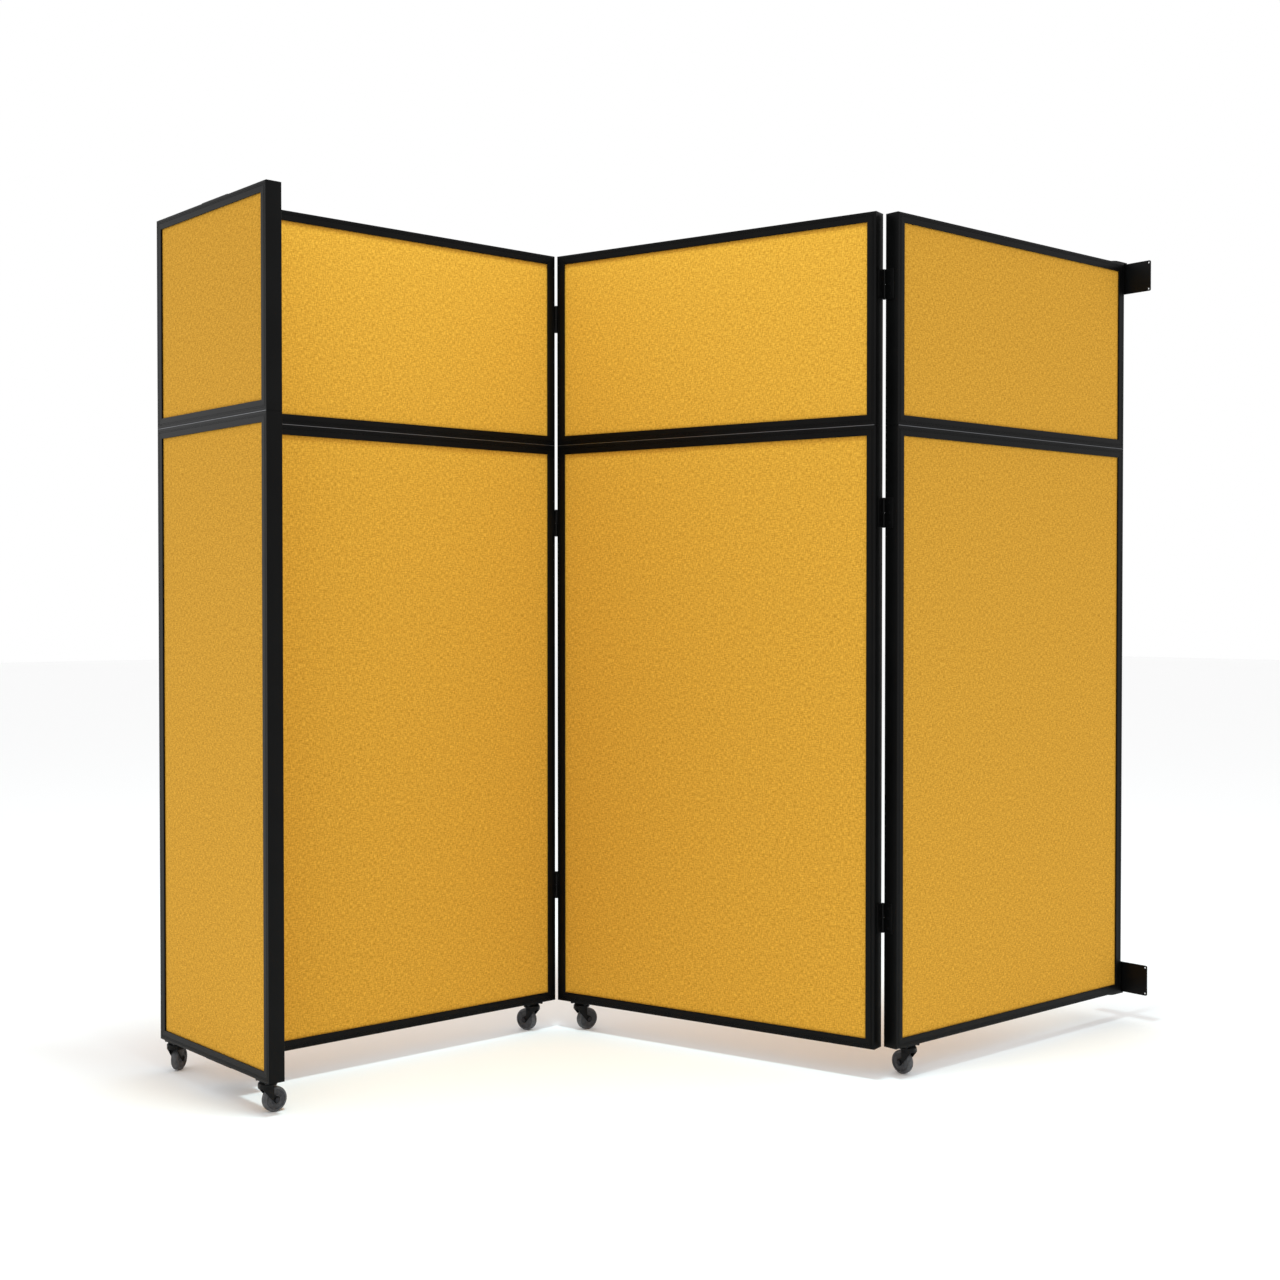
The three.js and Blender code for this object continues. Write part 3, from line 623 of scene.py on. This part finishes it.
def leaf_shells(kind):
    """A leaf in its own axes: the hinge axis is z, and the plate runs towards -y. The knuckle is
    the lower half for the pin and the upper half for the socket."""
    half = HINGE_HEIGHT / 2
    edge = KNUCKLE_GAP / 2
    low, high = (-half, -edge) if kind == "pin" else (edge, half)
    chamfer = KNUCKLE_CHAMFER
    r = KNUCKLE_RADIUS
    if kind == "pin":
        tip = high + PIN_LENGTH
        profile = [(TIP_RADIUS, low), (r - chamfer, low), (r, low + chamfer), (r, high - chamfer),
                   (r - chamfer, high), (PIN_RADIUS, high), (PIN_RADIUS, tip - PIN_CHAMFER),
                   (PIN_RADIUS - PIN_CHAMFER, tip), (0.0003, tip)]
    else:
        bore = PIN_RADIUS + SOCKET_CLEARANCE
        end = low + PIN_LENGTH + SOCKET_CLEARANCE
        profile = [(TIP_RADIUS, high), (r - chamfer, high), (r, high - chamfer),
                   (r, low + chamfer), (r - chamfer, low), (bore, low), (bore, end),
                   (TIP_RADIUS, end)]
    shells = [loft(turned(profile, 32))]
    inner = KNUCKLE_RADIUS + KNUCKLE_GAP
    x, z = LEAF_WIDTH - LEAF_CORNER, half - LEAF_CORNER
    plate = np.concatenate([
        [(inner, -half)], arc((x, -z), LEAF_CORNER, -90, 0, 5),
        arc((x, z), LEAF_CORNER, 0, 90, 5), [(inner, half)]])
    onto = inner + TAB_OVERLAP
    tab = np.array([(TAB_START, low + TAB_INSET), (onto, low + TAB_INSET),
                    (onto, high - TAB_INSET), (TAB_START, high - TAB_INSET)])
    for outline in (plate, tab):
        rings = slab(anticlockwise(outline), 0, LEAF_THICKNESS, LEAF_EDGE)
        shells.append(loft(np.stack([LEAF_FACE - rings[..., 2], -rings[..., 0], rings[..., 1]],
                                    -1)))
    return shells


def leaf_screw_shells():
    """Three screw heads on a leaf, a tenth of a millimetre proud of it."""
    middle = (KNUCKLE_RADIUS + KNUCKLE_GAP + LEAF_WIDTH) / 2
    head = lying(screw_head(*LEAF_SCREW_HEAD))
    return [loft(head + (LEAF_FACE - LEAF_SCREW_SUNK, -middle, z)) for z in LEAF_SCREWS]


# Fold, kind of leaf, panel, the panel's end (right 1, left -1) and its face (back 1, front -1).
FOLD_LEAVES = [("wall_fold", "pin", "wall_panel", -1, 1),
               ("wall_fold", "socket", "middle_panel", 1, 1),
               ("outer_fold", "pin", "middle_panel", -1, -1),
               ("outer_fold", "socket", "outer_panel", 1, -1)]
for fold, kind, panel, end, face in FOLD_LEAVES:
    along, back = panel_axes(panel)
    for place in ("top", "middle", "bottom"):
        node = f"{fold}_{place}_{kind}_leaf"
        low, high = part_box(node)
        axis = np.array(joints[fold]["pos_m"])
        axis[2] = (low[2] + high[2]) / 2
        for word, shells, material, slot, old in (
                ("hinge_leaf", leaf_shells(kind), powder, "black_steel", [node]),
                ("hinge_screws", leaf_screw_shells(), zinc, "black_zinc_steel", [])):
            make_piece(f"{fold}_{place}_{kind}_{word}",
                       placed(shells, axis, end * along, face * back), material, panel, old)


# ---- caster tops ---------------------------------------------------------------------------
# The plate under the rail is pressed steel with four bolts. A ridged dust ring covers the ball
# race below it, and the king pin is riveted over under the fork's crown.

RAIL_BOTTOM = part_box("wall_panel_lower_frame")[0][2]
SEAT = 0.0003
TOP_PLATE = (0.062, 0.044, 0.003)
TOP_PLATE_CORNER = 0.005
TOP_PLATE_EDGE = 0.0007
RACE_RADIUS = 0.023
RACE_BOTTOM = -0.0083
RIDGE = 0.0008
SUNK = 0.0002  # how far a part that stands on a plate starts inside it
BOLT_SPOT = (0.0262, 0.0172)
CASTER_PANELS = {"wall_panel": "wall_panel", "middle_panel": "middle_panel",
                 "outer_panel": "outer_panel", "end_panel_back": "end_panel",
                 "end_panel_front": "end_panel"}


def rounded_rectangle(width, depth, radius):
    """The outline of a rectangle with round corners, anticlockwise from its right side."""
    x, y = width / 2 - radius, depth / 2 - radius
    corners = ((x, y), (-x, y), (-x, -y), (x, -y))
    return np.concatenate([arc(corner, radius, 90 * quarter, 90 * quarter + 90, 6)
                           for quarter, corner in enumerate(corners)])


def caster_place(caster):
    """The top of the swivel axis, the direction of the axle and the direction of the trail."""
    x, y, _ = joints[caster + "_swivel"]["pos_m"]
    along = np.array(joints[caster + "_roll"]["axis"], dtype=float)
    return np.array([x, y, RAIL_BOTTOM]), along, np.array([-along[1], along[0], 0.0])


def caster_top_shells():
    """The plate, the ridged ring, whose radius swells and shrinks three times on its way down,
    and the king pin with its flat head."""
    length, depth, thickness = TOP_PLATE
    plate = slab(rounded_rectangle(length, depth, TOP_PLATE_CORNER), -SEAT - thickness, -SEAT,
                 TOP_PLATE_EDGE)
    top = -SEAT - thickness + 2 * SUNK
    drop = np.linspace(0, 1, 31)
    radius = RACE_RADIUS - RIDGE + RIDGE * np.cos(2 * np.pi * 3 * drop + np.pi)
    height = top + (RACE_BOTTOM - top) * drop
    ring = [(0.006, top)] + list(zip(radius, height)) + [(0.006, RACE_BOTTOM)]
    pin = [(0.0005, RACE_BOTTOM + 0.001), (0.005, RACE_BOTTOM + 0.001), (0.005, -0.0153),
           (0.0085, -0.0153), (0.0085, -0.0166), (0.0075, -0.0178), (0.0005, -0.0178)]
    return [loft(plate), loft(turned(ring, 72)), loft(turned(pin, 40))]


def caster_bolt_shells():
    """Four bolt heads under the corners of the plate: hexagons with a chamfered rim."""
    head = [(0.0030, 0), (0.0038, -0.0002), (0.0038, -0.0022), (0.0030, -0.0027), (0.0003, -0.0027)]
    rings = turned(head, 36, [None, hexagon, hexagon, None, None])
    x, y = BOLT_SPOT
    return [loft(rings + (across * x, along * y, -SEAT - TOP_PLATE[2] + SUNK))
            for across in (-1, 1) for along in (-1, 1)]


for caster, panel in CASTER_PANELS.items():
    origin, _, _ = caster_place(caster)
    along, back = panel_axes(panel)
    for word, shells, material, slot, old in (
            ("swivel_top", caster_top_shells(), powder, "black_steel", [f"{caster}_caster_plate"]),
            ("plate_bolts", caster_bolt_shells(), zinc, "black_zinc_steel", [])):
        make_piece(f"{caster}_{word}", placed(shells, origin, along, back), material,
                   PANEL_BODIES[panel], old)


# ---- caster forks --------------------------------------------------------------------------
# The fork is pressed from steel sheet and coated black: a round crown under the race with a
# ridged skirt round its front, and two legs that slope back to a round boss at the axle.

CROWN_RADIUS = 0.026
CROWN_TOP = -0.0088
CROWN_BOTTOM = -0.0148
CROWN_RIM = 0.0018
CROWN_FOOT = 0.001
KING_PIN_HOLE = 0.0055
SKIRT_BOTTOM = -0.0228
SKIRT_THICKNESS = 0.003
SKIRT_RIDGE = 0.0003
LEG_INNER = 0.013
LEG_THICKNESS = 0.003
LEG_EDGE = 0.0008
LEG_FRONT = -0.022
LEG_BACK = 0.012
TRAIL = 0.020
AXLE_HEIGHT = -0.057
BOSS_RADIUS = 0.010


def fork_shells():
    """The crown, the skirt, two legs and a collar on each. A leg's outline runs down its front,
    round the boss from 216 to 430 degrees, and up its back. The skirt is carried round the front
    half circle; its outer side draws in three times, by ridge * (1 - cos t)."""
    edge = arc((CROWN_RADIUS - CROWN_RIM, CROWN_TOP - CROWN_RIM), CROWN_RIM, 90, 0, 5)
    skirt_top = CROWN_BOTTOM + CROWN_FOOT
    foot = arc((CROWN_RADIUS - CROWN_FOOT, skirt_top), CROWN_FOOT, 0, -90, 3)
    profile = [(KING_PIN_HOLE, CROWN_TOP), *edge, *foot, (KING_PIN_HOLE, CROWN_BOTTOM)]
    crown = loft(turned(profile, 72), closed=True)
    top = (CROWN_TOP + CROWN_BOTTOM) / 2
    outline = np.concatenate([
        [(LEG_FRONT, top), (LEG_FRONT, SKIRT_BOTTOM)],
        arc((TRAIL, AXLE_HEIGHT), BOSS_RADIUS, 216, 430, 24),
        [(0.0131, AXLE_HEIGHT + 0.0145), (0.0122, AXLE_HEIGHT + 0.0162),
         (LEG_BACK, AXLE_HEIGHT + 0.019), (LEG_BACK, top)]])
    down = np.linspace(0, 1, 25)
    wall = CROWN_RADIUS - SKIRT_RIDGE * (1 - np.cos(2 * np.pi * 3 * down))
    drop = skirt_top + (SKIRT_BOTTOM - skirt_top) * down
    inner = CROWN_RADIUS - SKIRT_THICKNESS
    section = np.concatenate([np.stack([wall, drop], 1),
                              [(inner, SKIRT_BOTTOM), (inner, skirt_top)]])
    round_front = np.radians(np.linspace(180, 360, 49))[:, None]
    skirt = loft(np.stack([section[:, 0] * np.cos(round_front), section[:, 0] * np.sin(round_front),
                           section[:, 1] + 0 * round_front], -1))
    right = lying(slab(anticlockwise(outline), LEG_INNER, LEG_INNER + LEG_THICKNESS, LEG_EDGE))
    collar = [(0.0044, 0.0158), (0.0082, 0.0158), (0.0082, 0.0164), (0.0078, 0.0167),
              (0.0044, 0.0167)]
    collar = lying(turned(collar, 40)) + (0, TRAIL, AXLE_HEIGHT)
    mirror = np.array((-1, 1, 1))
    return [crown, skirt, loft(right), loft(right * mirror), loft(collar, closed=True),
            loft(collar * mirror, closed=True)]


for caster in CASTER_PANELS:
    make_piece(f"{caster}_pressed_fork", placed(fork_shells(), *caster_place(caster)), powder,
               f"{caster}_fork", [f"{caster}_caster_fork"])


# ---- wheels and axles ----------------------------------------------------------------------
# Each wheel is moulded in grey thermoplastic: a rounded tread, a dished web with four raised
# rings, and a hub. A black bolt with a hexagon head and a nut holds it in the fork.

WHEEL_RADIUS = 0.035
WHEEL_HALF = 0.011
SHOULDER_RADIUS = 0.006
HUB_HALF = 0.012
DISH_DEPTH = 0.0070
DISH_RISE = 0.0008
HEAD_INNER = 0.0163  # from the wheel's middle to the bolt's head
HEAD_THICKNESS = 0.004


def wheel_shell():
    """A ring turned about the axle through one side's outline and its mirror image: bore, hub,
    a dish whose floor stands at the depth plus rise * (1 - cos t), four times over, rim, and the
    tread's shoulder."""
    hub = [(0.0044, HUB_HALF - 0.0004), (0.0048, HUB_HALF), (0.0104, HUB_HALF),
           (0.0110, HUB_HALF - 0.0006)]
    across = np.linspace(0, 1, 41)
    dish = np.stack([0.0118 + 0.0148 * across,
                     DISH_DEPTH + DISH_RISE * (1 - np.cos(2 * np.pi * 4 * across))], 1)
    rim = [(0.0276, WHEEL_HALF - 0.0003), (0.0282, WHEEL_HALF)]
    shoulder = arc((WHEEL_RADIUS - SHOULDER_RADIUS, WHEEL_HALF - SHOULDER_RADIUS),
                   SHOULDER_RADIUS, 90, 0, 6)
    half = np.concatenate([hub, dish, rim, shoulder])
    profile = np.concatenate([half, (half * (1, -1))[::-1]])
    return loft(lying(turned(profile, 96)), closed=True)


def axle_shell():
    """A shank with a chamfered hexagon at both ends and the bolt's round end past the nut."""
    head = HEAD_INNER
    tip = head + HEAD_THICKNESS
    profile = [(TIP_RADIUS, tip), (0.0058, tip), (0.0065, tip - 0.0006), (0.0065, head),
               (0.004, head), (0.004, -head), (0.0065, -head), (0.0065, 0.0006 - tip),
               (0.0058, -tip), (TIP_RADIUS, -tip)]
    flat = [None, None, hexagon, hexagon, None, None, hexagon, hexagon, None, None]
    return loft(lying(turned(profile, 48, flat)))


# Grey thermoplastic rubber: dull, with fine scuffs round the tread. Its grain is 1 mm.
tread, tree, shader = new_material("grey_thermoplastic_rubber", **{
    "Base Color": linear("#4A4A4C"), "Roughness": 0.62, "Specular IOR Level": 0.4})
coordinates = add_node(tree, "ShaderNodeTexCoord")
grain = add_node(tree, "ShaderNodeTexNoise", {"Vector": (coordinates, "Object"), "Scale": 900.0,
                                              "Detail": 2.0})
scuff = add_node(tree, "ShaderNodeTexNoise", {"Vector": (coordinates, "Object"), "Scale": 120.0,
                                              "Detail": 4.0})
vary_colour(tree, shader, (scuff, "Fac"), "#3E3E40", "#565658", (0.35, 0.75))
add_relief(tree, shader, (grain, "Fac"), 0.2, 0.0003)

for caster in CASTER_PANELS:
    _, along, back = caster_place(caster)
    centre = joints[caster + "_roll"]["pos_m"]
    for word, shell, material, body, slot, old in (
            ("moulded_wheel", wheel_shell(), tread, "wheel", "grey_tread", "wheel"),
            ("axle_bolt", axle_shell(), zinc, "fork", "black_zinc_steel", "axle")):
        make_piece(f"{caster}_{word}", placed([shell], centre, along, back), material,
                   f"{caster}_{body}", [f"{caster}_caster_{old}"])


# ---- wall brackets -------------------------------------------------------------------------
# A plate for the wall with a tab welded across its end, one over the wall panel and one under
# it, cut from 4 mm steel and coated black. The screw holes in the CAD plates stay open.

for node in ("upper_wall_bracket", "lower_wall_bracket", "upper_tee_plate", "lower_tee_plate"):
    materials = frame["nodes"][node].data.materials
    materials.clear()
    materials.append(powder)

TAB_THICKNESS = 0.004
PLATE_FROM_PIVOT = 0.036
WELD_SIZE = 0.0026
WELD_HALF = 0.0205
WELD_ROUND = 0.0209  # half the length over which the bead's ends round off
WELD_RIPPLE = 0.003
pivot_x, pivot_y, _ = joints["wall_pivot"]["pos_m"]
plate_face = pivot_x + PLATE_FROM_PIVOT

for side, name in ((1, "upper"), (-1, "lower")):
    low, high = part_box(f"{name}_wall_bracket")
    tab_face = high[2] if side > 0 else low[2]
    # The weld is a bead in the corner between tab and plate: a quarter-round, rippled every
    # 3 mm along its length.
    span = np.linspace(-WELD_HALF, WELD_HALF, 83)
    size = WELD_SIZE * (1 + 0.10 * np.cos(2 * np.pi * span / WELD_RIPPLE))
    size = size * np.sqrt(np.clip(1 - (span / WELD_ROUND) ** 8, 0.02, 1))
    turn = np.radians(np.linspace(0, 90, 7))
    bead = np.concatenate([np.array([[-0.0004, -0.0004]]),
                           np.stack([np.sin(turn), np.cos(turn)], 1)])
    rings = [np.stack([plate_face - s * bead[:, 0], np.full(len(bead), pivot_y + y),
                       tab_face - side * (TAB_THICKNESS * 2 + s * bead[:, 1])], 1)
             for y, s in zip(span, size)]
    make_piece(f"{name}_bracket_weld", [loft(rings)], powder, "wall_brackets")


# ---- wall pivots ---------------------------------------------------------------------------
# A countersunk steel pin through each tab into the wall panel's rail. The panel swings on the
# two of them.

for side, name in ((1, "upper"), (-1, "lower")):
    low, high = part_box(f"{name}_wall_pivot")
    top = high[2] if side > 0 else low[2]
    profile = [(0.0003, -0.0032), (0.0022, -0.0032), (0.0022, 0), (0.0084, 0), (0.009, -0.0005),
               (0.009, -0.0007), (0.006, -0.0036), (0.006, -0.0192), (0.005, -0.0203),
               (TIP_RADIUS, -0.0203)]
    rings = turned(profile, 48, [None, hexagon, hexagon] + [None] * 7)
    rings = rings * (1, 1, side) + (pivot_x, pivot_y, top)
    make_piece(f"{name}_pivot_pin", [loft(rings)], zinc, "wall_brackets",
               [f"{name}_wall_pivot"])


# ---- T plates ------------------------------------------------------------------------------
# Flat steel plates over and under the joint where the end panel crosses the outer panel's end,
# coated black. Button-head screws hold them to both panels' rails.

TEE_SCREWS = [(-0.033, 0.058), (-0.033, 0.0), (-0.033, -0.058), (0.040, 0.0)]
TEE_SCREW_HEAD = (0.0052, 0.0022, 0.0019)  # radius, height and socket
outer_low, outer_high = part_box("outer_panel_lower_frame")
outer_middle = (outer_low[1] + outer_high[1]) / 2
for side, name in ((1, "upper"), (-1, "lower")):
    low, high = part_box(f"{name}_tee_plate")
    face = high[2] if side > 0 else low[2]
    head = screw_head(*TEE_SCREW_HEAD) * (1, 1, side)
    heads = [loft(head + (outer_low[0] + x, outer_middle + y, face)) for x, y in TEE_SCREWS]
    make_piece(f"{name}_tee_screws", heads, zinc, "outer_panel")
